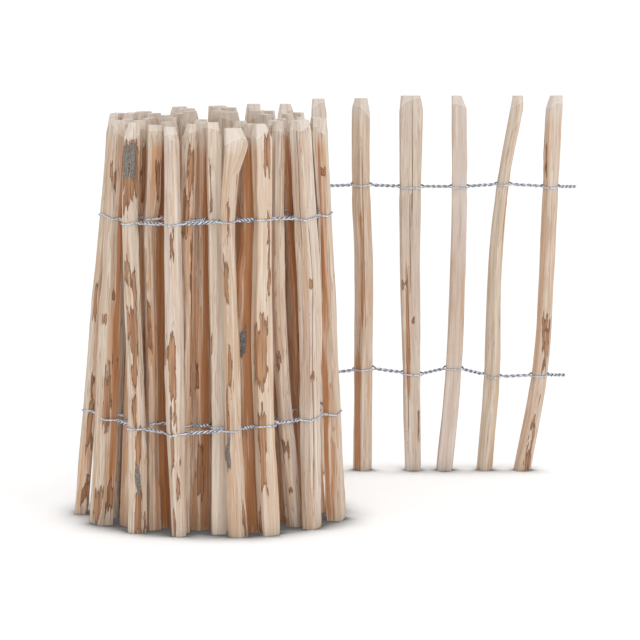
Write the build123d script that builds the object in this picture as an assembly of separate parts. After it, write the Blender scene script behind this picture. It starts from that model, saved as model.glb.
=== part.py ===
# Roll of cleft-pale fencing standing on end, with its outer end drawn out into a straight run.
# Millimetres, +Z up, every pale's foot on z = 0. Each pale and each wire strand is its own solid.
from bisect import bisect
from math import cos, hypot, radians, sin
from pathlib import Path
from random import Random

from build123d import *

# Fence
height = 600.0
low_wire = 157.0
top_wire = 458.0
pale_gap = 44.0
thickest = 21.0
widest = 38.0
tip_length = 21.0

# Wire: two strands at each height, twisted together between the pales
wire_d = 1.8
wire_clear = 0.25
strand_apart = 0.4
tail = 28.0
wire_wander = 1.5

# Plan: a straight run, a bend, then a spiral that winds inwards and anticlockwise
run_front = 367.0
run_end = 200.0
run_start = 560.0
free_end = 48.0
roll_radius = 176.0
roll_flat = 0.97
join_deg = 120.0
wound_deg = 1600.0
bend_in = 60.0
bend_out = 150.0
splay = 0.05
turn_clear = 0.5

middle = (low_wire + top_wire) / 2
half_wire = wire_d / 2
seat = half_wire + wire_clear
swing = half_wire + strand_apart / 2
core_guess = roll_radius - 3 * (thickest + 6)
corner_rise = widest ** 2 / (8 * core_guess)
turn_pitch = (thickest + 2 * (seat + half_wire) + corner_rise + turn_clear) / roll_flat

# Pale sections as shares of half width and half thickness, the bark side outwards
forms = {
    "round": [(-1, -1), (1, -1), (0.95, 0.1), (0.45, 1), (-0.45, 1), (-0.95, 0.1)],
    "ridge": [(-1, -1), (1, -1), (0.85, 0), (0.1, 1), (-0.8, 0.1)],
    "notch": [(-1, -1), (1, -1), (0.8, 0.1), (-0.1, 1), (-0.85, 0)],
    "plank": [(-1, -1), (1, -1), (0.88, 1), (-0.93, 1)],
    "hollow": [(-0.9, -1), (0.85, -1), (1, 1), (-1, 1)],
}

# Number: (gap before it, form, thickness share,
#          widths at the foot, low wire, middle, top wire and shoulder,
#          shifts along the fence at the same levels,
#          tip share, tip shift, shortfall in height, share of the splay)
chosen = {
    1: (0, "round", 0.90, (26, 25, 22, 24, 26), (36, 9, 0, -6, -10), 0.76, -4, 0, 1),
    2: (60, "notch", 0.85, (26, 25, 22, 20, 20), (14, 3, 0, -12, -33), 0.85, -2, 0, 1),
    3: (36, "plank", 0.75, (25, 25, 24, 24, 23), (20, 6, 0, -2, -1), 0.70, 4, 0, 1),
    4: (48, "hollow", 0.80, (25, 28, 31, 34, 37), (-5, -3, 0, 0, -1), 0.84, 1, 0, 1),
    5: (43, "ridge", 0.95, (29, 30, 30, 28, 28), (2, 1, 0, 5, 5), 0.72, 0, 4, 1),
    6: (52, "ridge", 0.90, (28, 27, 26, 26, 26), (0, 0, 0, 0, 0), 0.80, 1, 3, 1),
    13: (42, "ridge", 0.80, (29, 28, 27, 25, 25), (0, 0, 0, 0, 0), 0.75, 0, 5, 1.8),
    14: (56, "plank", 0.90, (34, 34, 32, 28, 27), (-3, 1, -4, -3, 0), 0.80, 1, 2, 1),
    15: (34, "round", 1.00, (24, 23, 21, 20, 22), (17, 10, -4, -17, -18), 0.66, 5, 2, 1),
    16: (47, "notch", 0.95, (20, 27, 25, 22, 20), (11, 2, 0, -5, -8), 0.72, -3, 5, 1),
    17: (63, "ridge", 0.95, (31, 22, 20, 22, 26), (7, 1, 0, -3, 6), 0.62, -5, 6, 1),
    18: (23, "plank", 0.85, (28, 27, 28, 23, 27), (4, 0, 0, 5, 6), 0.60, -3, 1, 1),
    19: (61, "plank", 0.95, (29, 30, 36, 34, 32), (-18, -10, 2, 1, -1), 0.88, -2, 0, 1),
    20: (25, "plank", 0.80, (35, 32, 28, 25, 23), (0, 0, 0, 0, 0), 0.85, 0, 2, 0.8),
    28: (42, "round", 0.85, (26, 26, 26, 25, 25), (0, 0, 0, 0, 0), 0.80, 0, 4, 1),
    29: (43, "plank", 0.85, (20, 20, 20, 18, 18), (0, 0, -2, -6, -8), 0.80, 0, 2, 1),
    30: (24, "ridge", 0.95, (18, 18, 20, 23, 23), (4, 0, -6, -15, -15), 0.94, 0, 7, 1),
    31: (34, "ridge", 0.90, (14, 14, 16, 19, 20), (0, 0, 0, -1, 1), 0.70, 3, 3, 1),
    32: (29, "plank", 0.85, (20, 20, 21, 22, 21), (-2, -1, -2, -4, -5), 0.80, -2, 0, 1),
    33: (25, "round", 0.90, (18, 20, 20, 19, 17), (3, 2, 0, 3, 7), 0.80, 0, 3, 1),
    34: (40, "round", 0.90, (26, 22, 21, 19, 19), (12, 0, -6, -1, 8), 0.80, 0, 2, 1),
    35: (31, "plank", 0.90, (24, 23, 22, 22, 22), (0, 0, 0, 0, 0), 0.80, 0, 6, 1),
    43: (64, "plank", 0.85, (18, 18, 17, 16, 16), (18, 6, 0, -2, -4), 0.80, 0, 4, 1),
    44: (38, "ridge", 0.90, (31, 30, 30, 29, 29), (0, 0, 0, 0, 0), 0.85, 0, 2, 1),
}
# Rise of the wire above its usual height where it crosses the pales that show
low_rise = {1: -3, 2: -6, 4: -4, 13: 1, 14: 3, 15: -3, 16: -8, 18: 5, 19: 5, 20: 3}
top_rise = {1: -2, 2: 2, 3: -2, 4: -2, 5: 1, 13: -5, 14: -2, 15: -6, 16: -4, 17: 1, 18: 4, 19: -2}
# Pales whose bark side faces the inside of the fence
turned = {1, 2, 3, 5, 9, 24, 38, 47}
# Pales that the wire holds further out than the others, and by how much
outset = {13: 4, 20: 8}
pale_count = 53
flatness = 1e-9


def spiral_point(deg):
    """Point of the spiral at a total angle, the front being 270 degrees."""
    reach = roll_radius - turn_pitch * (deg - 270) / 360
    return reach * roll_flat * cos(radians(deg)), reach * sin(radians(deg))


def plan_route():
    """Closely spaced points of the fence's centre line, and how much of the splay each one has."""
    points, shares = [], []
    x = run_start
    while x > run_end:
        points.append((x, run_front))
        shares.append(0.0)
        x -= 2
    first, last, after = (run_end, run_front), spiral_point(join_deg), spiral_point(join_deg + 0.5)
    step = hypot(after[0] - last[0], after[1] - last[1])
    way = ((after[0] - last[0]) / step, (after[1] - last[1]) / step)
    pull = (first[0] - bend_in, first[1])
    push = (last[0] - bend_out * way[0], last[1] - bend_out * way[1])
    for i in range(150):
        t = i / 150
        u = 1 - t
        points.append(tuple(u ** 3 * a + 3 * u * u * t * b + 3 * u * t * t * c + t ** 3 * d
                            for a, b, c, d in zip(first, pull, push, last)))
        shares.append(t * t * (3 - 2 * t))
    deg = join_deg
    while deg < join_deg + wound_deg:
        points.append(spiral_point(deg))
        shares.append(1.0)
        deg += 0.5
    return points, shares


route, route_share = plan_route()
route_length = [0.0]
for start, end in zip(route, route[1:]):
    route_length.append(route_length[-1] + hypot(end[0] - start[0], end[1] - start[1]))


def skin(rings):
    """A solid from rings of corners: flat faces between one ring and the next, and one over each end."""
    faces = [Face(Wire.make_polygon(ring, close=True)) for ring in (rings[0][::-1], rings[-1])]
    for low, high in zip(rings, rings[1:]):
        for i in range(len(low)):
            j = (i + 1) % len(low)
            a, b, c, d = low[i], low[j], high[j], high[i]
            flat = abs((b - a).cross(d - a).dot(c - a)) < flatness * (b - a).length * (d - a).length
            corners = [[a, b, c, d]] if flat else [[a, b, c], [a, c, d]]
            faces += [Face(Wire.make_polygon(each, close=True)) for each in corners]
    return Solid(Shell(faces))


class Pale:
    """One cleft pale: where it stands on the route, and its section at any height."""

    def __init__(self, along, facing, held_out, form, share, widths, shifts, tip, tip_shift, short, leaning):
        i = min(bisect(route_length, along) - 1, len(route) - 2)
        length = route_length[i + 1] - route_length[i]
        part = (along - route_length[i]) / length
        (x0, y0), (x1, y1) = route[i], route[i + 1]
        self.origin = Vector(x0 + (x1 - x0) * part, y0 + (y1 - y0) * part, 0)
        self.along = Vector(x1 - x0, y1 - y0, 0).normalized()
        self.out = Vector(self.along.Y, -self.along.X, 0)
        self.origin += self.out * held_out
        self.lean = splay * route_share[i] * leaning
        self.form = [(x, -y) for x, y in reversed(forms[form])] if facing < 0 else forms[form]
        self.levels = (0, low_wire, middle, top_wire, height - short - tip_length, height - short)
        scales = [w / widths[2] for w in widths]
        self.half_width = widths[2] / 2
        self.half_thick = share * thickest / 2 / max(scales)
        self.scales = scales + [scales[-1] * tip]
        self.shifts = list(shifts) + [shifts[-1] + tip_shift]

    def between(self, values, z):
        i = min(max(bisect(self.levels, z) - 1, 0), len(self.levels) - 2)
        part = (z - self.levels[i]) / (self.levels[i + 1] - self.levels[i])
        return values[i] + (values[i + 1] - values[i]) * part

    def centre(self, z):
        shift = self.between(self.shifts, z)
        return self.origin + self.along * shift - self.out * self.lean * (z - middle) + Vector(0, 0, z)

    def outline(self, z):
        """The section's corners at height z."""
        scale = self.between(self.scales, z)
        across, through = self.half_width * scale, self.half_thick * scale
        return [self.centre(z) + self.along * x * across + self.out * y * through for x, y in self.form]

    def reach(self, z, way):
        """How far the section reaches from its centre in a direction."""
        return max((p - self.centre(z)).dot(way) for p in self.outline(z))

    def solid(self):
        return skin([self.outline(z) for z in self.levels])


def seat_path(pale, z, side, before, after):
    """The corners that a taut strand takes over one side of a pale, between two points of its route."""
    base = pale.centre(z)
    flat = [((p - base).dot(pale.along), (p - base).dot(pale.out)) for p in pale.outline(z)]
    offset = []
    for i, corner in enumerate(flat):
        normals = []
        for a, b in ((flat[i - 1], corner), (corner, flat[(i + 1) % len(flat)])):
            length = hypot(b[0] - a[0], b[1] - a[1])
            normals.append(((b[1] - a[1]) / length, (a[0] - b[0]) / length))
        (ax, ay), (bx, by) = normals
        grow = seat / (1 + ax * bx + ay * by)
        offset.append((corner[0] + (ax + bx) * grow, (corner[1] + (ay + by) * grow) * side))
    ends = [((p - base).dot(pale.along), (p - base).dot(pale.out) * side) for p in (before, after)]
    chain = []
    for point in sorted([q for q in offset if ends[0][0] < q[0] < ends[1][0]] + ends):
        while len(chain) > 1:
            (x0, y0), (x1, y1) = chain[-2], chain[-1]
            if (x1 - x0) * (point[1] - y0) - (y1 - y0) * (point[0] - x0) < 0:
                break
            chain.pop()
        chain.append(point)
    return [base + pale.along * x + pale.out * (y * side) for x, y in chain[1:-1]]


def strand_ring(centre, sideways):
    up = Vector(0, 0, half_wire)
    across = sideways * half_wire
    return [centre + across, centre + up, centre - across, centre - up]


def strand(pales, levels, side):
    """One strand along the whole fence, on one side of every pale and once round the other in each gap."""
    count = len(pales)
    gaps = []
    for i in range(count + 1):
        if i == 0:
            near, way, room = pales[0], pales[0].along, tail
            base = near.centre(levels[0]) - way * (near.reach(levels[0], -way) + tail)
            shares = (0, 0.4, 0.75)
        elif i == count:
            near, way, room = pales[-1], pales[-1].along, tail
            base = near.centre(levels[-1]) + way * near.reach(levels[-1], way)
            shares = (0.25, 0.6, 1)
        else:
            left, right = pales[i - 1], pales[i]
            start, end = left.centre(levels[i - 1]), right.centre(levels[i])
            way = (end - start).normalized()
            before = left.reach(levels[i - 1], way)
            room = (end - start).length - before - right.reach(levels[i], -way)
            base = start + way * before
            shares = (0.25, 0.5, 0.75)
        flat_way = Vector(way.X, way.Y, 0).normalized()
        outward = Vector(flat_way.Y, -flat_way.X, 0)
        turn = side if i % 2 else -side
        swings = (Vector(0, 0, turn * swing), outward * (-side * swing), Vector(0, 0, -turn * swing))
        gaps.append([(base + way * room * share + offset, outward) for share, offset in zip(shares, swings)])
    course = list(gaps[0])
    for i, pale in enumerate(pales):
        bends = seat_path(pale, levels[i], side, gaps[i][2][0], gaps[i + 1][0][0])
        course += [(bend, pale.out) for bend in bends]
        course += gaps[i + 1]
    return skin([strand_ring(*point) for point in course])


def stand_pales():
    """Every pale in order from the free end to the core, each set off from the one before it."""
    pales = []
    along = free_end
    last_width = 0
    for number in range(1, pale_count + 1):
        if number in chosen:
            gap, form, share, widths, shifts, *head = chosen[number]
        else:
            vary = Random(number)
            gap = pale_gap
            form = vary.choice(list(forms))
            share = vary.uniform(0.8, 1.0)
            middle_width = vary.uniform(23, 31)
            widths = [middle_width * vary.uniform(0.88, 1.12) for _ in range(5)]
            shifts = [vary.uniform(-4, 4) for _ in range(5)]
            head = (vary.uniform(0.6, 0.9), vary.uniform(-3, 3), vary.uniform(0, 8), 1)
        if pales:
            along += last_width / 2 + gap + widths[2] / 2
        last_width = widths[2]
        facing = -1 if number in turned else 1
        pales.append(Pale(along, facing, outset.get(number, 0), form, share, widths, shifts, *head))
    return pales


pales = stand_pales()
nodes = {f"pale_{i:02d}": pale.solid() for i, pale in enumerate(pales, 1)}
for name, level, rise in (("low", low_wire, low_rise), ("top", top_wire, top_rise)):
    vary = Random(level)
    levels = [level + rise.get(i, vary.uniform(-wire_wander, wire_wander)) for i in range(1, pale_count + 1)]
    nodes[f"wire_{name}_outer"] = strand(pales, levels, 1)
    nodes[f"wire_{name}_inner"] = strand(pales, levels, -1)

# The whole is moved so that its box stands centred over the origin
boxes = [solid.bounding_box() for solid in nodes.values()]
mid_x = (min(b.min.X for b in boxes) + max(b.max.X for b in boxes)) / 2
mid_y = (min(b.min.Y for b in boxes) + max(b.max.Y for b in boxes)) / 2
Path("parts").mkdir(exist_ok=True)
for name, solid in nodes.items():
    export_step(solid.moved(Location((-mid_x, -mid_y, 0))), f"parts/{name}.step")
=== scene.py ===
from math import cos, pi, radians, sin
from random import Random

import bmesh
import bpy
import numpy as np
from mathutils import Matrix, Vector, noise


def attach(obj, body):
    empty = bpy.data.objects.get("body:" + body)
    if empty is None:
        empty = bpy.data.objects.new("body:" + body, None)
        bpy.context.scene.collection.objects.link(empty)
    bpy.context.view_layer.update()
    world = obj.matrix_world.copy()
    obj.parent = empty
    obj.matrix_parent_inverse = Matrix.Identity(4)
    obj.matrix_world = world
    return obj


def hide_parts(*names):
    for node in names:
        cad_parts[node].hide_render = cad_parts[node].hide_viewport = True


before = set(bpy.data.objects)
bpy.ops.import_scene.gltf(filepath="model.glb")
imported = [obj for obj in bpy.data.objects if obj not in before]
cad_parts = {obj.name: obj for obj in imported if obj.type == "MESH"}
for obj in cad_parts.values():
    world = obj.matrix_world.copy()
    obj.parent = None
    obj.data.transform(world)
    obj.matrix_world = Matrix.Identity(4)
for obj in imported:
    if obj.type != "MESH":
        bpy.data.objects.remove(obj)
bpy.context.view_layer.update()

# The camera stands about 5.6 m in front of the roll, a little above it, with a long lens.
# It comes first, because the pieces are judged from there.
camera = bpy.data.objects.new("camera", bpy.data.cameras.new("camera"))
bpy.context.scene.collection.objects.link(camera)
camera.location = (-0.01805, -5.71038, 1.0635)
camera.rotation_euler = (radians(90 - 7.81), 0, 0)
camera.data.lens = 213.4
camera.data.sensor_width = 36
camera.data.clip_end = 60
bpy.context.scene.camera = camera
bpy.context.scene.view_settings.view_transform = "Standard"


# The pales are split along the grain from young sweet chestnut poles, so each has flat torn faces,
# a rounded side that was under the bark, and strips of brown inner bark left on it. Each one
# starts as a merged copy of its solid, which is cut into fine strips that follow the grain.
class Link:
    """A socket of a material. Arithmetic on it adds the Math nodes."""

    def __init__(self, socket):
        self.socket = socket

    def node(self, kind, settings=None, values=None, output=0):
        tree = self.socket.id_data
        made = tree.nodes.new(kind)
        for name, value in (settings or {}).items():
            setattr(made, name, value)
        for name, value in (values or {}).items():
            if isinstance(value, Link):
                tree.links.new(value.socket, made.inputs[name])
            else:
                made.inputs[name].default_value = value
        return Link(made.outputs[output])

    def maths(self, operation, *values):
        return self.node("ShaderNodeMath", {"operation": operation}, dict(enumerate(values)))

    def __add__(self, other):
        return self.maths("ADD", self, other)

    def __radd__(self, other):
        return self.maths("ADD", other, self)

    def __sub__(self, other):
        return self.maths("SUBTRACT", self, other)

    def __rsub__(self, other):
        return self.maths("SUBTRACT", other, self)

    def __mul__(self, other):
        return self.maths("MULTIPLY", self, other)

    def __rmul__(self, other):
        return self.maths("MULTIPLY", other, self)

    def size(self):
        return self.maths("ABSOLUTE", self)

    def step(self, low, high):
        """0 below low, 1 above high, and smooth between them."""
        values = {"Value": self, "From Min": low, "From Max": high}
        return self.node("ShaderNodeMapRange", {"interpolation_type": "SMOOTHSTEP"}, values)

    def mix(self, first, second):
        """From the first colour to the second by this mask."""
        settings = {"data_type": "RGBA", "clamp_factor": True}
        return self.node("ShaderNodeMix", settings, {0: self, 6: first, 7: second}, 2)

    def stretched(self, size):
        return self.node("ShaderNodeVectorMath", {"operation": "MULTIPLY"}, {0: self, 1: size})

    def noise(self, scale, detail=3.0, roughness=0.55):
        values = {"Vector": self, "Scale": scale, "Detail": detail, "Roughness": roughness}
        return self.node("ShaderNodeTexNoise", {}, values)

    def axis(self, number):
        return self.node("ShaderNodeSeparateXYZ", {}, {0: self}, number)


def new_finish(name, roughness, metallic=0.0):
    """A material and its shader."""
    material = bpy.data.materials.new(name)
    material.use_nodes = True
    shader = material.node_tree.nodes["Principled BSDF"]
    shader.inputs["Roughness"].default_value = roughness
    shader.inputs["Metallic"].default_value = metallic
    return material, shader


def feed(shader, colour, height, strength, distance, roughness=None):
    """Puts a colour, a relief and a roughness on a shader."""
    links = shader.id_data.links
    links.new(colour.socket, shader.inputs["Base Color"])
    bump = colour.node("ShaderNodeBump", {}, {"Strength": strength, "Distance": distance, "Height": height})
    links.new(bump.socket, shader.inputs["Normal"])
    if roughness:
        links.new(roughness.socket, shader.inputs["Roughness"])


def field(shader, name, output=2):
    """An attribute of the mesh, 2 for a number and 1 for a vector."""
    made = shader.id_data.nodes.new("ShaderNodeAttribute")
    made.attribute_name = name
    return Link(made.outputs[output])


def cleft_wood():
    """Cleft face: long pale fibres, tan and orange streaks, brown inner bark, grey rind, splits and knots."""
    material, shader = new_finish("cleft_chestnut", 0.72)
    grain = field(shader, "grain", 1)
    tone = field(shader, "tone", 1)
    fibre = grain.stretched((1, 1, 0.02)).noise(1000, 4)
    streak = grain.stretched((1, 1, 0.022)).noise(420, 3)
    band = grain.stretched((1, 1, 0.05)).noise(110, 3)
    cloud = grain.stretched((1, 1, 0.2)).noise(46, 3)
    jag = grain.stretched((1, 1, 0.13)).noise(230, 3, 0.5)
    pinker = (tone.axis(1) + (cloud - 0.5) * 1.8).step(0.2, 0.9)
    colour = pinker.mix((0.705, 0.605, 0.490, 1), (0.670, 0.570, 0.510, 1))
    tanner = (tone.axis(0) + (band - 0.5) * 1.3 + (cloud - 0.5) * 0.7).step(0.2, 1.0)
    colour = tanner.mix(colour, (0.590, 0.410, 0.275, 1))
    # The orange share is partly the wood's own colour and partly painted shade and warm bounced light on the
    # pales inside the roll.
    warmer_and_painted_shade = (tone.axis(2) + (band - 0.5) * 1.1 + (cloud - 0.5) * 0.6).step(0.3, 1.0)
    colour = warmer_and_painted_shade.mix(colour, (0.670, 0.325, 0.145, 1))
    figure = field(shader, "figure")
    layer = grain.stretched((1, 1, 0.05)).noise(120, 2, 0.5)
    colour = (layer.step(0.42, 0.43) * figure * 0.22).mix(colour, (0.600, 0.430, 0.290, 1))
    colour = (layer.step(0.51, 0.52) * figure * 0.45).mix(colour, (0.760, 0.670, 0.570, 1))
    colour = (layer.step(0.61, 0.62) * figure * 0.45).mix(colour, (0.560, 0.370, 0.230, 1))
    torn = 1 - (layer - 0.52).size().step(0.006, 0.022) + 1 - (layer - 0.62).size().step(0.006, 0.022)
    colour = (torn * figure * 0.5).mix(colour, (0.360, 0.200, 0.110, 1))
    line = streak.step(0.58, 0.63) * figure * 0.45
    colour = line.mix(colour, (0.370, 0.205, 0.110, 1))
    hair = fibre.step(0.56, 0.7) * figure * 0.3
    colour = hair.mix(colour, (0.400, 0.250, 0.150, 1))
    bright = (1 - streak).step(0.54, 0.64) * 0.5
    colour = bright.mix(colour, (0.800, 0.715, 0.620, 1))
    # Stains are partly real marks and partly painted shade. On pales 33, 35, 43 and 44 they cover the whole
    # face, for the shade and warm bounced light of the gaps.
    stain_and_painted_shade = (field(shader, "stain_and_painted_shade") + (streak - 0.5) * 12).step(-1.5, 1.5) * (0.62 + 0.5 * cloud)
    colour = stain_and_painted_shade.mix(colour, (0.470, 0.190, 0.068, 1))
    depth = field(shader, "bark") + (jag - 0.5) * 10 + (streak - 0.5) * 3
    bark = depth.step(-0.2, 0.25)
    bark_colour = streak.step(0.42, 0.56).mix((0.300, 0.130, 0.055, 1), (0.450, 0.235, 0.115, 1))
    bark_colour = (1 - depth.step(0.3, 1.4)).mix(bark_colour, (0.170, 0.070, 0.030, 1))
    bark_colour = (fibre.step(0.52, 0.68) * 0.7).mix(bark_colour, (0.150, 0.062, 0.028, 1))
    colour = (bark * 0.94).mix(colour, bark_colour)
    rough = grain.stretched((1, 1, 0.6)).noise(700, 5, 0.8)
    rind = (field(shader, "rind") + (jag - 0.5) * 7).step(-0.25, 0.4)
    rind_colour = rough.step(0.36, 0.64).mix((0.065, 0.050, 0.042, 1), (0.360, 0.325, 0.290, 1))
    colour = rind.mix(colour, rind_colour)
    split = 1 - (field(shader, "split").size() + (streak - 0.5) * 2.5).step(0.6, 1.8)
    colour = (split * 0.8).mix(colour, (0.230, 0.110, 0.055, 1))
    bevel = field(shader, "bevel")
    colour = (bevel.step(-0.2, 0.2) * 0.55).mix(colour, (0.790, 0.710, 0.640, 1))
    # Painted highlight: a thin light line along the edge of the cut bevel, as on an arris that catches the
    # light.
    painted_highlight_rim = 1 - (bevel + 0.3).size().step(0.5, 1.0)
    colour = (painted_highlight_rim * 0.4).mix(colour, (0.880, 0.810, 0.730, 1))
    height = 0.5 * fibre + 0.7 * streak + 1.6 * layer + 0.5 * bark * jag + 1.6 * rind * rough - 0.9 * split
    feed(shader, colour, height, 0.75, 0.0009, 0.62 + 0.2 * fibre + 0.1 * rind)
    return material


def sawn_end():
    """Cross-cut end: fresh, pale, with fine rings and saw marks."""
    material, shader = new_finish("sawn_chestnut", 0.8)
    grain = field(shader, "grain", 1)
    tone = field(shader, "tone", 1)
    ring = grain.stretched((1, 1.6, 0.3)).noise(420, 3)
    fibre = grain.stretched((1, 1, 0.05)).noise(900, 3)
    colour = ring.step(0.35, 0.7).mix((0.880, 0.800, 0.700, 1), (0.800, 0.690, 0.580, 1))
    colour = (tone.axis(0) * 0.2).mix(colour, (0.640, 0.500, 0.380, 1))
    colour = (fibre.step(0.55, 0.75) * 0.3).mix(colour, (0.500, 0.370, 0.275, 1))
    feed(shader, colour, ring + fibre, 0.5, 0.0006)
    return material


wood_finish = cleft_wood()
end_finish = sawn_end()

# Tan, pink and orange shares of the pales that show in front. The high tan and orange shares of pales 33, 35,
# 43 and 44, seen through the gaps, are painted shade and warm bounced light.
pale_tones = {
    1: (0.50, 0.75, 0.18), 2: (0.22, 0.15, 0.06), 3: (0.24, 0.95, 0.00), 4: (0.26, 0.60, 0.00),
    5: (0.40, 0.45, 0.10), 6: (0.35, 0.60, 0.10), 13: (0.45, 0.45, 0.25), 14: (0.45, 0.40, 0.15),
    15: (0.30, 0.25, 0.05), 16: (0.22, 0.75, 0.00), 17: (0.56, 0.45, 0.10), 18: (0.50, 0.35, 0.08),
    19: (0.30, 0.60, 0.05), 20: (0.45, 0.35, 0.20), 29: (0.60, 0.30, 0.45), 30: (0.50, 0.25, 0.40),
    31: (0.50, 0.60, 0.35), 32: (0.18, 0.25, 0.00), 33: (0.80, 0.40, 1.10), 34: (0.38, 0.60, 0.15),
    35: (0.60, 0.30, 1.15), 43: (0.60, 0.40, 0.95), 44: (0.35, 0.40, 0.65),
}
# Marks on the side that faces the front, in millimetres: kind, offset from the pale's middle, lowest,
# highest, half width
front_marks = {
    1: [("bark", 0.5, 190, 238, 2.6), ("bark", 5.0, 165, 245, 2.2), ("bark", 9.0, 185, 250, 1.6),
        ("bark", 2.0, 66, 104, 2.0), ("bark", 5.0, 30, 78, 2.0), ("bark", 1.0, 18, 52, 1.6),
        ("bark", 3.0, -6, 36, 2.6), ("bark", 7.5, -6, 30, 1.4), ("bark", -9.0, 480, 520, 1.2)],
    2: [("split", -9.5, 470, 545, 0.6), ("stain_and_painted_shade", 10.0, 395, 462, 2.6), ("knot", 9.0, 425, 436, 2.4)],
    4: [("split", 2.0, 420, 575, 0.6), ("split", -0.5, 300, 430, 0.6), ("split", -3.5, 180, 310, 0.6),
        ("split", -7.0, 70, 190, 0.6), ("stain_and_painted_shade", -5.5, 120, 330, 2.5), ("knot", 3.0, 238, 246, 1.6),
        ("knot", -10.0, 292, 306, 3.0), ("bark", 10.0, 62, 92, 1.6)],
    5: [("split", 2.0, 235, 500, 0.5), ("stain_and_painted_shade", -8.0, -5, 185, 5.5), ("stain_and_painted_shade", -1.5, 235, 420, 2.5),
        ("split", -6.0, 180, 210, 0.5)],
    13: [("knot", 6.4, 50, 61, 3.0), ("bark", 4.1, 14, 46, 5.3), ("bark", -3.5, 294, 352, 2.4),
         ("bark", 2.6, 105, 174, 3.3), ("bark", 1.6, 174, 204, 2.2), ("stain_and_painted_shade", 8.0, 300, 580, 3.0)],
    14: [("bark", -2.8, 503, 530, 5.1), ("knot", 4.8, 335, 348, 3.2), ("knot", -4.8, 299, 314, 2.9),
         ("bark", 0.2, 143, 236, 5.9), ("bark", 14.3, 229, 264, 2.2), ("bark", -17.0, -1, 50, 2.4),
         ("bark", -5.4, 8, 53, 5.3), ("bark", 10.3, 21, 62, 5.3), ("stain_and_painted_shade", 12.0, 60, 560, 5.0)],
    15: [("rind", -2.5, 517, 567, 11.5), ("bark", 2.0, 490, 577, 11.5), ("bark", -2.6, 471, 530, 5.2),
         ("bark", -5.7, 359, 396, 3.8), ("bark", 4.8, 342, 381, 4.1),
         ("bark", -3.5, 290, 323, 1.9), ("bark", 2.5, 217, 329, 4.6), ("bark", -1.0, 151, 198, 2.0),
         ("bark", 3.4, 85, 154, 4.1), ("rind", 2.6, 61, 96, 4.4), ("bark", 3.9, -7, 66, 5.3),
         ("bark", 14.1, -4, 31, 1.9)],
    16: [("bark", -15.5, 508, 563, 2.9), ("bark", -9.5, 470, 501, 2.3), ("bark", -1.0, 405, 440, 3.0),
         ("bark", -13.2, 273, 346, 2.3), ("bark", -8.1, 241, 296, 4.6), ("bark", -0.8, 197, 285, 4.4),
         ("bark", 1.4, 162, 203, 2.3), ("bark", -2.2, 98, 229, 2.2), ("bark", 4.7, 54, 98, 2.3),
         ("bark", -4.1, -4, 47, 1.9)],
    17: [("bark", 12.7, 436, 512, 3.5), ("bark", -0.7, 445, 474, 1.7), ("bark", -5.3, 345, 405, 2.9),
         ("bark", -3.2, 222, 291, 2.9), ("rind", -9.7, 96, 143, 4.6), ("bark", -7.5, 136, 213, 2.9),
         ("bark", 11.8, 2, 40, 4.4), ("split", -13.0, 380, 560, 0.6)],
    18: [("bark", 6.3, 533, 582, 4.6), ("bark", 8.5, 349, 470, 2.0), ("knot", -0.8, 313, 323, 2.9),
         ("bark", -3.1, 220, 313, 9.4), ("bark", -4.0, 70, 188, 4.9), ("bark", -12.1, 0, 35, 2.3)],
    19: [("knot", 3.4, 354, 368, 2.9), ("knot", 3.9, 221, 233, 2.9), ("split", -7.0, 430, 585, 0.5),
         ("split", 4.0, 60, 440, 0.5)],
    20: [("knot", -2.0, 515, 526, 2.9), ("stain_and_painted_shade", -8.0, 0, 560, 3.0), ("bark", 12.0, 144, 174, 2.6),
         ("bark", 12.0, 76, 136, 2.0)],
    29: [("bark", 8.0, 475, 556, 1.8), ("split", 3.0, 200, 430, 0.5)],
    30: [("bark", 8.0, 488, 540, 3.2), ("bark", -4.0, 273, 339, 1.8)],
    31: [("bark", 3.0, 494, 560, 4.9), ("bark", -2.0, 430, 500, 3.5), ("bark", 5.5, 200, 430, 1.2),
         ("split", 7.0, 20, 430, 0.6)],
    32: [("bark", -8.5, 248, 292, 1.5), ("bark", -6.0, 470, 545, 1.0)],
    # The stains that cover pales 33, 35, 43 and 44 from end to end are painted shade of the gaps.
    33: [("rind", -6.5, 264, 300, 3.0), ("stain_and_painted_shade", 0.0, -5, 560, 6.0)],
    34: [("bark", -6.0, 236, 257, 4.4), ("bark", -4.0, 106, 124, 4.4), ("knot", -2.0, 51, 61, 2.9)],
    35: [("bark", 0.0, 400, 462, 4.5), ("rind", 2.0, 385, 440, 3.0), ("bark", 0.0, 231, 278, 5.9),
         ("stain_and_painted_shade", 0.0, -5, 560, 9.0)],
    43: [("stain_and_painted_shade", 0.0, -5, 560, 7.0)],
    44: [("bark", 1.0, 50, 122, 4.7), ("bark", -3.0, 215, 244, 2.2), ("stain_and_painted_shade", 8.0, -5, 560, 5.0)],
}
# Pales with a plainer grain than the rest
plainer = {1: 0.7, 2: 0.8, 3: 0.3, 4: 0.5, 5: 0.6, 6: 0.6, 16: 0.7, 17: 0.7, 18: 0.45, 19: 0.8, 32: 0.6}
seen_in_front = set(pale_tones)
# Where a pale is broader than its solid: which edge, lowest, highest, how much, and how far from the
# pale's middle that starts, in millimetres. Below 0 it is narrower.
broader = {
    13: [(1, -20, 360, 4.0, 2)], 14: [(-1, -20, 360, 2.5, 2)], 16: [(-1, 200, 640, 2.5, 2)],
    17: [(1, 530, 680, 9.0, -7), (1, 60, 330, 2.0, 2)], 20: [(-1, -60, 330, 5.0, 2)],
    30: [(1, 60, 480, -6.0, 2), (-1, 60, 480, 4.0, 2)], 31: [(-1, 100, 640, 2.5, 2)],
    32: [(1, -60, 110, 4.0, 2)], 33: [(-1, -60, 420, 7.0, 2)], 35: [(-1, 100, 560, 2.0, 2)],
}
# How softly a broader part starts, across the pale and along it, in millimetres
broader_across = 7
broader_along = 35


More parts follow.
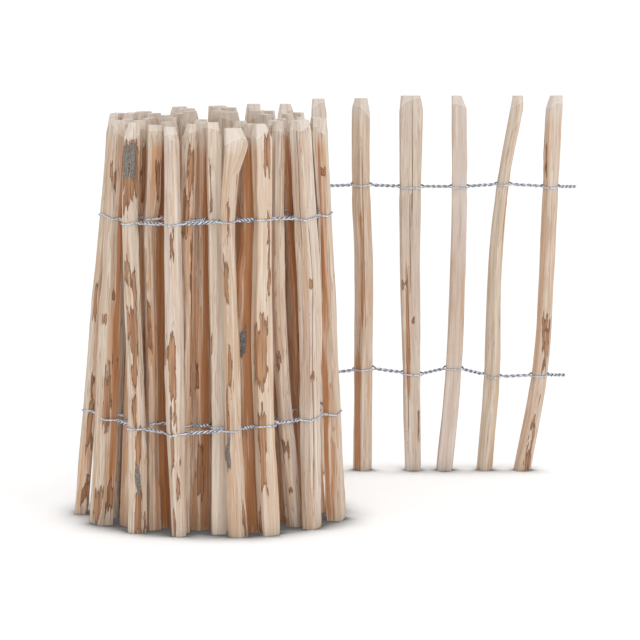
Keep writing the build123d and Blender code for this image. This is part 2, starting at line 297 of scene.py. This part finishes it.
# Heights of the two wires, and the strips of a pale, across and along the grain: fine where it shows
wire_levels = (0.157, 0.458)
near_strips = (0.0015, 0.006)
far_strips = (0.0026, 0.011)
# How the relief of the wood calms down beside a wire
calm_from = 0.006
calm_reach = 0.02
calm_share = 0.25
# Sharpest angle between two faces that are still shaded as one
smooth_angle = radians(38)


def pick_edges(mesh, wanted):
    """Selects the edges of a mesh in edit mode that a test accepts."""
    for edge in mesh.edges:
        edge.select = wanted(edge)
    mesh.select_flush_mode()


def turn_at(vertex, middles):
    """The level of a corner and its direction from the middle of the section there."""
    level = min(range(len(middles)), key=lambda i: abs(middles[i].z - vertex.co.z))
    away = vertex.co - middles[level]
    return level, np.arctan2(away.y, away.x)


def same_way(a, b):
    return abs((a - b + pi) % (2 * pi) - pi) < 0.01


def cut_strips(node, name, across, along):
    """A copy of the solid, merged, and cut into strips that follow the grain, with open ends."""
    piece = bpy.data.objects.new(name, node.data.copy())
    bpy.context.scene.collection.objects.link(piece)
    bpy.ops.object.select_all(action="DESELECT")
    piece.select_set(True)
    bpy.context.view_layer.objects.active = piece
    bpy.ops.object.mode_set(mode="EDIT")
    bpy.ops.mesh.select_mode(type="EDGE")
    bpy.ops.mesh.select_all(action="SELECT")
    bpy.ops.mesh.remove_doubles(threshold=0.00001)
    bpy.ops.mesh.select_mode(type="FACE")
    mesh = bmesh.from_edit_mesh(piece.data)
    for face in mesh.faces:
        face.select = abs(face.normal.z) > 0.999
    bpy.ops.mesh.delete(type="ONLY_FACE")
    bpy.ops.mesh.select_mode(type="EDGE")
    mesh = bmesh.from_edit_mesh(piece.data)
    heights = sorted({round(v.co.z, 5) for v in mesh.verts})
    rings = [[v.co.copy() for v in mesh.verts if abs(v.co.z - z) < 0.00002] for z in heights]
    middles = [sum(ring, Vector()) / len(ring) for ring in rings]

    def slanting(edge):
        (low, first), (high, second) = (turn_at(v, middles) for v in edge.verts)
        return low != high and not same_way(first, second)

    def edge_across(edge, ways):
        (low, first), (high, second) = (turn_at(v, middles) for v in edge.verts)
        if low != high:
            return False
        return any(same_way(first, a) and same_way(second, b) for a, b in (ways, ways[::-1]))

    pick_edges(mesh, slanting)
    bpy.ops.mesh.dissolve_edges(use_verts=False)
    ways = sorted(np.arctan2(p.y - middles[2].y, p.x - middles[2].x) for p in rings[2])
    for pair in zip(ways, ways[1:] + ways[:1]):
        mesh = bmesh.from_edit_mesh(piece.data)
        pick_edges(mesh, lambda edge: edge_across(edge, pair))
        lengths = [edge.calc_length() for edge in mesh.edges if edge.select]
        cuts = round(np.mean(lengths) / across) - 1
        if cuts > 0:
            bpy.ops.mesh.subdivide(number_cuts=cuts)
    for low, high in zip(heights, heights[1:]):
        mesh = bmesh.from_edit_mesh(piece.data)
        ends = {round(low, 4), round(high, 4)}
        pick_edges(mesh, lambda edge: {round(v.co.z, 4) for v in edge.verts} == ends)
        cuts = round((high - low) / along) - 1
        if cuts > 0:
            bpy.ops.mesh.subdivide(number_cuts=cuts)
    bpy.ops.object.mode_set(mode="OBJECT")
    return piece, heights, middles


def smooth_between(heights, values, z):
    """A smooth curve through the values at the heights, less the straight runs between them."""
    slopes = np.gradient(values, heights, axis=0)
    i = np.clip(np.searchsorted(heights, z) - 1, 0, len(heights) - 2)
    low, high = heights[i], heights[i + 1]
    span = (high - low)[:, None]
    t = ((z - low) / (high - low))[:, None]
    a, b = values[i], values[i + 1]
    curve = (2 * t ** 3 - 3 * t ** 2 + 1) * a + (t ** 3 - 2 * t ** 2 + t) * span * slopes[i]
    curve += (3 * t ** 2 - 2 * t ** 3) * b + (t ** 3 - t ** 2) * span * slopes[i + 1]
    return curve - (a + (b - a) * t), a + (b - a) * t


def write_field(mesh, name, values):
    kind = "FLOAT_VECTOR" if values.ndim == 2 else "FLOAT"
    made = mesh.attributes.new(name, kind, "POINT")
    made.data.foreach_set("vector" if values.ndim == 2 else "value", values.astype(np.float32).ravel())


def mark_fields(number, offset, z, facing, around, bark_side):
    """How deep each point lies inside each kind of mark, in millimetres, and below 0 outside."""
    fields = {kind: np.full(len(z), -9.0) for kind in ("bark", "rind", "stain_and_painted_shade")}
    fields["split"] = np.full(len(z), 9.0)
    vary = Random(number * 7)
    marks = [(*mark, offset, facing) for mark in front_marks.get(number, [])]
    unseen = bark_side * (1 - facing) if number in seen_in_front else bark_side
    for _ in range(vary.randint(3, 6)):
        low = vary.uniform(0, 520)
        kind = vary.choice(("bark", "bark", "bark", "rind", "stain_and_painted_shade"))
        size = vary.uniform(20, 110)
        marks.append((kind, vary.uniform(-9, 9), low, low + size, vary.uniform(1.5, 5.5), around, unseen))
    for kind, middle, low, high, half, place, share in marks:
        ends = np.minimum(z - low, high - z)
        if kind == "split":
            beyond = np.maximum(-ends, 0) * 0.2 + (1 - share) * 9
            across = place - middle - 0.8 * np.sin(z / 37 + middle)
            signed = across * 2 + np.where(across < 0, -beyond, beyond)
            fields[kind] = np.where(np.abs(signed) < np.abs(fields[kind]), signed, fields[kind])
            continue
        taper = 9.0 if kind != "knot" else 2.0
        inside = np.minimum(half - np.abs(place - middle), ends / taper)
        inside = inside - (1 - share) * 12
        kind = "bark" if kind == "knot" else kind
        fields[kind] = np.maximum(fields[kind], np.maximum(inside, -9.0))
    return fields


def grow_pale(number):
    """One pale: strips, bends, torn relief, bark, and its closed ends."""
    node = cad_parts[f"pale_{number:02d}"]
    across, along = near_strips if number in seen_in_front else far_strips
    piece, heights, middles = cut_strips(node, f"cleft_pale_{number:02d}", across, along)
    mesh = piece.data
    soften = piece.modifiers.new("worn_edges", "SMOOTH")
    soften.factor = 0.4
    soften.iterations = 1
    soften.use_z = False
    bpy.ops.object.modifier_apply(modifier=soften.name)
    points = np.zeros(len(mesh.vertices) * 3)
    mesh.vertices.foreach_get("co", points)
    points = points.reshape(-1, 3)
    normals = np.zeros(len(mesh.vertices) * 3)
    mesh.vertex_normals.foreach_get("vector", normals)
    normals = normals.reshape(-1, 3)
    heights = np.array(heights)
    centres = np.array([[m.x, m.y] for m in middles])
    bend, centre = smooth_between(heights[:5], centres[:5], points[:, 2].clip(0, heights[4]))
    points[:, :2] += bend
    centre = centre + bend
    ring = [v.co for v in node.data.vertices if v.co.z < 0.0001]
    sides = [(b - a).xy for a in ring for b in ring if (b - a).length > 0.001]
    wide = max(sides, key=lambda side: side.length).normalized()
    wide = wide if wide.x > 0 else -wide
    local = points[:, :2] - centre
    around = local @ np.array([wide.x, wide.y])
    through = local @ np.array([wide.y, -wide.x])
    z = points[:, 2]
    facing = np.clip(-normals[:, 1] * 2.5 - 0.2, 0, 1)
    bark_way = normals[:, :2] @ np.array([wide.y, -wide.x])
    if (centres[0] - roll_middle) @ np.array([wide.y, -wide.x]) < 0:
        bark_way = -bark_way
    bark_side = np.clip(bark_way * 2.5 - 0.2, 0, 1)
    edge_side = np.abs(normals[:, :2] @ np.array([wide.x, wide.y]))
    fields = mark_fields(number, local[:, 0] * 1000, z * 1000, facing, around * 1000, bark_side)
    for way, low, high, extra, start in broader.get(number, []):
        share = np.clip((local[:, 0] * way * 1000 - start) / broader_across, 0, 1)
        rise = np.clip((z * 1000 - low) / broader_along, 0, 1)
        fall = np.clip((high - z * 1000) / broader_along, 0, 1)
        points[:, 0] += share * rise * fall * extra * 0.001 * way
    seed = Vector((number * 3.7, number * 1.3, number * 0.9))
    relief = np.zeros(len(z))
    for i in range(len(z)):
        place = Vector((around[i] * 1000, through[i] * 1000, z[i] * 1000))
        torn = noise.noise(Vector((place.x / 3.2, place.y / 3.2, place.z / 70)) + seed)
        wave = noise.noise(Vector((place.x / 13, place.y / 13, place.z / 95)) + seed)
        ledge = noise.noise(Vector((place.x / 6, place.y / 6, place.z / 150)) - seed)
        relief[i] = 0.42 * torn + 1.0 * wave + 0.5 * min(max(ledge * 7, -1), 1) + 0.2
    on_wire = np.minimum(*(np.abs(z - level) for level in wire_levels))
    calm = np.clip((on_wire - calm_from) / calm_reach, calm_share, 1)
    vary = Random(number)
    # Unseen pales get random tan and pink shares. From pale 29 on, inside the roll, a high orange share
    # stands for painted shade and warm bounced light.
    chance = (vary.uniform(0.2, 0.6), vary.uniform(0.2, 0.8), 0.15 if number < 29 else 0.7)
    slope, tilt, lowest = vary.uniform(0.1, 0.6), vary.uniform(-0.8, 0.8), vary.uniform(5, 15)
    side = around * 1000
    bevel = (z - heights[5]) * 1000 + np.abs(side) * slope + side * tilt + lowest
    relief = relief * calm * (1 - 0.8 * np.clip(bevel, 0, 1))
    relief += 0.8 * np.clip(fields["rind"], 0, 1) + 0.35 * np.clip(fields["bark"], 0, 1)
    points += normals * (relief * 0.001)[:, None]
    mesh.vertices.foreach_set("co", points.ravel())
    mesh.update()
    tan, pink, orange = pale_tones.get(number, chance)
    write_field(mesh, "grain", np.stack([around + number, through, z], axis=1))
    tone = np.tile([tan, pink, orange], (len(z), 1))
    # The side faces turn tanner and more orange: partly weathered wood, partly painted shade of the gaps
    # between the pales.
    tone[:, 0] += 0.3 * edge_side
    tone[:, 2] += 0.35 * edge_side
    # Tan and orange, painted shade among them, fade out towards the top, so the heads are paler.
    tone[:, [0, 2]] *= np.clip((0.59 - z) / 0.035, 0.15, 1)[:, None]
    write_field(mesh, "tone", tone)
    write_field(mesh, "bevel", bevel)
    write_field(mesh, "figure", np.full(len(z), plainer.get(number, 1.0)))
    for kind, values in fields.items():
        write_field(mesh, kind, values)
    bpy.ops.object.mode_set(mode="EDIT")
    bpy.ops.mesh.select_mode(type="EDGE")
    bpy.ops.mesh.select_all(action="DESELECT")
    bpy.ops.mesh.select_non_manifold(extend=False, use_wire=False, use_multi_face=False,
                                     use_non_contiguous=False, use_verts=False)
    bpy.ops.mesh.fill_holes(sides=0)
    bpy.ops.mesh.select_all(action="SELECT")
    bpy.ops.mesh.normals_make_consistent(inside=False)
    bpy.ops.object.mode_set(mode="OBJECT")
    mesh.materials.clear()
    mesh.materials.append(wood_finish)
    mesh.materials.append(end_finish)
    for face in mesh.polygons:
        if abs(face.normal.z) > 0.9:
            face.material_index = 1
    bpy.ops.object.shade_smooth_by_angle(angle=smooth_angle)
    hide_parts(node.name)
    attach(piece, "root")


outer_turn_pales = range(13, 29)
outer_turn = [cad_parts[f"pale_{number:02d}"].data.vertices[0].co for number in outer_turn_pales]
roll_middle = np.array(sum(outer_turn, Vector()).xy) / len(outer_turn)
pale_total = sum(name.startswith("pale_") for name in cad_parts)
for number in range(1, pale_total + 1):
    grow_pale(number)


# The pales are bound by galvanised steel wire, one strand outside them and one inside at each height.
# In every space the two are twisted round each other two or more times, so each strand here
# follows its solid over the pales and winds round its partner between them.
def galvanised():
    """Zinc on drawn wire: light blue-grey, dulled in patches, with painted shade where strands or wood lie
    close.
    """
    material, shader = new_finish("galvanised_wire", 0.4, 0.7)
    place = Link(shader.id_data.nodes.new("ShaderNodeTexCoord").outputs["Object"])
    patch = place.noise(350, 3)
    spark = place.noise(1600, 2)
    colour = patch.step(0.4, 0.7).mix((0.72, 0.76, 0.84, 1), (0.25, 0.28, 0.34, 1))
    # Painted shade: an ambient occlusion node darkens the zinc where strands or wood lie close.
    painted_crevice_shade = place.node("ShaderNodeAmbientOcclusion", {}, {"Distance": 0.006}, 1)
    colour = (1 - painted_crevice_shade.step(0.35, 0.9)).mix(colour, (0.07, 0.075, 0.09, 1))
    feed(shader, colour, patch + spark, 0.3, 0.0002, 0.34 + 0.25 * patch)
    return material


wire_finish = galvanised()
wire_radius = 0.0014
solid_radius = 0.0009
# From the middle line of a space to each strand, and the length that one full twist takes
swing = 0.0016
twist_pitch = 0.016
points_per_turn = 12
# Two strands that are nearer than this are in a space, and not over a pale
together = 2.2 * swing
# Shares of a space where the twist starts and ends
twist_from = 0.13
twist_to = 0.87
# How sharply a strand turns at a pale, and how much lower the front strand passes it than the middle line
bend_radius = 0.0012
sag = 0.0016
# Ends of wire that stick out where a new wire was joined in: height, gap, share of it, direction in metres
wire_ends = [
    ("low", 14, 0.62, (-0.0075, -0.001, 0.0085)), ("top", 18, 0.55, (-0.006, -0.001, 0.011)),
    ("top", 20, 0.30, (0.003, -0.001, 0.006)),
]


# How much higher the low wire runs than its solid, in metres, where it crosses pales 1 to 6
low_lift = {1: 0.0, 2: 0.0, 3: 0.012, 4: 0.002, 5: 0.009, 6: 0.0}
run_distance = 0.25


def pale_place(number):
    """Where a pale of the straight run stands, from left to right."""
    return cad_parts[f"pale_{number:02d}"].data.vertices[0].co.x


lift_spots = sorted((pale_place(number), lift) for number, lift in low_lift.items())


def lifted(point):
    """A point of a wire, raised where the low wire runs high along the straight run."""
    on_run = point.z < sum(wire_levels) / 2 and point.y > roll_middle[1] + run_distance
    lift = np.interp(point.x, *zip(*lift_spots)) if on_run else 0
    return point + Vector((0, 0, lift))


def walk_strand(node):
    """The middle of each section of a CAD strand, in order along it."""
    spots = {}
    for v in node.data.vertices:
        spots.setdefault(tuple(round(c * 1e5) for c in v.co), v.co.copy())
    drop = round(2 * solid_radius * 1e5)
    tops = {key for key in spots if any((key[0], key[1], key[2] - drop + d) in spots for d in (-1, 0, 1))}
    beside = {key: set() for key in tops}
    for edge in node.data.edges:
        a, b = (tuple(round(c * 1e5) for c in node.data.vertices[i].co) for i in edge.vertices)
        if a in tops and b in tops and a != b:
            beside[a].add(b)
            beside[b].add(a)
    ends = sorted(key for key in tops if len(beside[key]) == 1)
    here, last, course = ends[0], None, []
    while here is not None:
        course.append(lifted(spots[here] - Vector((0, 0, solid_radius))))
        onward = [key for key in beside[here] if key != last]
        last, here = here, (onward[0] if onward else None)
    return course


def split_course(course, other):
    """The middle line of each space, and the corners over each pale between them."""
    spaces, corners, over, run = [], [], [], []
    for point in course:
        partner = min(other, key=lambda q: (q - point).length)
        if (partner - point).length < together:
            run.append((point + partner) / 2)
            if len(run) == 3:
                spaces.append(run)
                corners.append(over)
                run, over = [], []
        else:
            over.append(point)
    return spaces, corners[1:]


def twist(line, first, last, side, turn):
    """Points of one strand where it winds round its partner along one space."""
    start = line[0] if first else line[0] * 2 - line[1]
    end = line[2] if last else line[2] * 2 - line[1]
    if first:
        end = line[2] + (line[2] - line[0]) / 3
    if last:
        start = line[0] - (line[2] - line[0]) / 3
    way = end - start
    low, high = (0.0 if first else twist_from), (1.0 if last else twist_to)
    across = Vector((way.y, -way.x, 0)).normalized()
    turns = max(2, round(way.length * (high - low) / twist_pitch))
    count = turns * points_per_turn
    made = []
    for i in range(count + 1):
        angle = turn * 2 * pi * turns * i / count
        offset = (across * cos(angle) + Vector((0, 0, sin(angle)))) * (side * swing)
        made.append(start + way * (low + (high - low) * i / count) + offset)
    return made


def strand_points(course, other, side):
    spaces, corners = split_course(course, other)
    made = []
    for i, line in enumerate(spaces):
        made += twist(line, i == 0, i == len(spaces) - 1, side, 1 if i % 2 else -1)
        if i < len(corners):
            middle = (line[2].y + spaces[i + 1][0].y) / 2
            over = [corner + Vector((0, 0, -sag if corner.y < middle else sag)) for corner in corners[i]]
            chain = [made[-1]] + over + [spaces[i + 1][0]]
            for before, corner, after in zip(chain, chain[1:], chain[2:]):
                made.append(corner + (before - corner).normalized() * bend_radius)
                made.append(corner)
                made.append(corner + (after - corner).normalized() * bend_radius)
    return made, spaces


def lay_wire(node_name, splines):
    """A round wire along smooth splines, standing for its CAD strand."""
    curve = bpy.data.curves.new(f"strand_{node_name}", "CURVE")
    curve.dimensions = "3D"
    curve.bevel_depth = wire_radius
    curve.bevel_resolution = 2
    curve.use_fill_caps = True
    curve.resolution_u = 1
    for points in splines:
        spline = curve.splines.new("NURBS")
        spline.points.add(len(points) - 1)
        spline.points.foreach_set("co", [c for p in points for c in (*p, 1)])
        spline.order_u = 3
        spline.use_endpoint_u = True
    wire = bpy.data.objects.new(f"strand_{node_name}", curve)
    bpy.context.scene.collection.objects.link(wire)
    bpy.ops.object.select_all(action="DESELECT")
    wire.select_set(True)
    bpy.context.view_layer.objects.active = wire
    bpy.ops.object.convert(target="MESH")
    bpy.ops.object.shade_smooth()
    wire = bpy.context.active_object
    wire.data.materials.clear()
    wire.data.materials.append(wire_finish)
    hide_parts(node_name)
    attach(wire, "root")


for height in ("low", "top"):
    courses = [walk_strand(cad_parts[f"wire_{height}_{side}"]) for side in ("outer", "inner")]
    for side, course, other in ((1, courses[0], courses[1]), (-1, courses[1], courses[0])):
        points, spaces = strand_points(course, other, side)
        splines = [points]
        if side > 0:
            for level, space, share, way in wire_ends:
                if level == height:
                    line = spaces[space]
                    root = line[0] + (line[2] - line[0]) * share
                    tip = Vector(way)
                    bulge = Vector((0, -0.002, 0))
                    splines.append([root, root + tip * 0.3 + bulge, root + tip * 0.7, root + tip])
        lay_wire(f"wire_{height}_{'outer' if side > 0 else 'inner'}", splines)


# The floor and the light are a plain studio: white all round, soft from in front and a little above.
# The floor glows just enough to render white. It keeps the real shadows at the feet, and close to them a
# painted shadow from an ambient occlusion node darkens its colour and its emission.
floor_material, floor_shader = new_finish("studio_white", 0.9)
# Painted shadow: the floor's colour and emission go dark where the ambient occlusion finds the feet close by.
painted_shadow_occlusion = floor_shader.id_data.nodes.new("ShaderNodeAmbientOcclusion")
painted_shadow_occlusion.inputs["Distance"].default_value = 0.1
painted_shadow_mask = Link(painted_shadow_occlusion.outputs["AO"]).step(0.53, 0.95)
painted_soft_shadow = painted_shadow_mask.mix((0.06, 0.06, 0.06, 1), (0.93, 0.93, 0.93, 1))
floor_shader.id_data.links.new(painted_soft_shadow.socket, floor_shader.inputs["Base Color"])
glow_with_painted_shadow = painted_shadow_mask.mix((0.17, 0.17, 0.17, 1), (1, 1, 1, 1))
floor_shader.id_data.links.new(glow_with_painted_shadow.socket, floor_shader.inputs["Emission Color"])
floor_shader.inputs["Emission Strength"].default_value = 0.31
bpy.ops.object.select_all(action="DESELECT")
bpy.ops.mesh.primitive_plane_add(size=30)
floor = bpy.context.active_object
floor.name = "floor"
floor.data.materials.append(floor_material)

world = bpy.data.worlds.new("studio")
bpy.context.scene.world = world
world.use_nodes = True
backdrop = world.node_tree.nodes["Background"]
backdrop.inputs["Color"].default_value = (1, 1, 1, 1)
backdrop.inputs["Strength"].default_value = 0.80


def add_light(name, place, size, power):
    lamp = bpy.data.objects.new(name, bpy.data.lights.new(name, "AREA"))
    lamp.data.shape = "SQUARE"
    lamp.data.size = size
    lamp.data.energy = power
    lamp.location = place
    lamp.rotation_euler = (Vector((0, 0, 0.3)) - Vector(place)).to_track_quat("-Z", "Y").to_euler()
    bpy.context.scene.collection.objects.link(lamp)


add_light("right_light", (1.9, -2.9, 1.8), 1.2, 15)
add_light("front_light", (0.1, -3.9, 1.0), 1.0, 13)
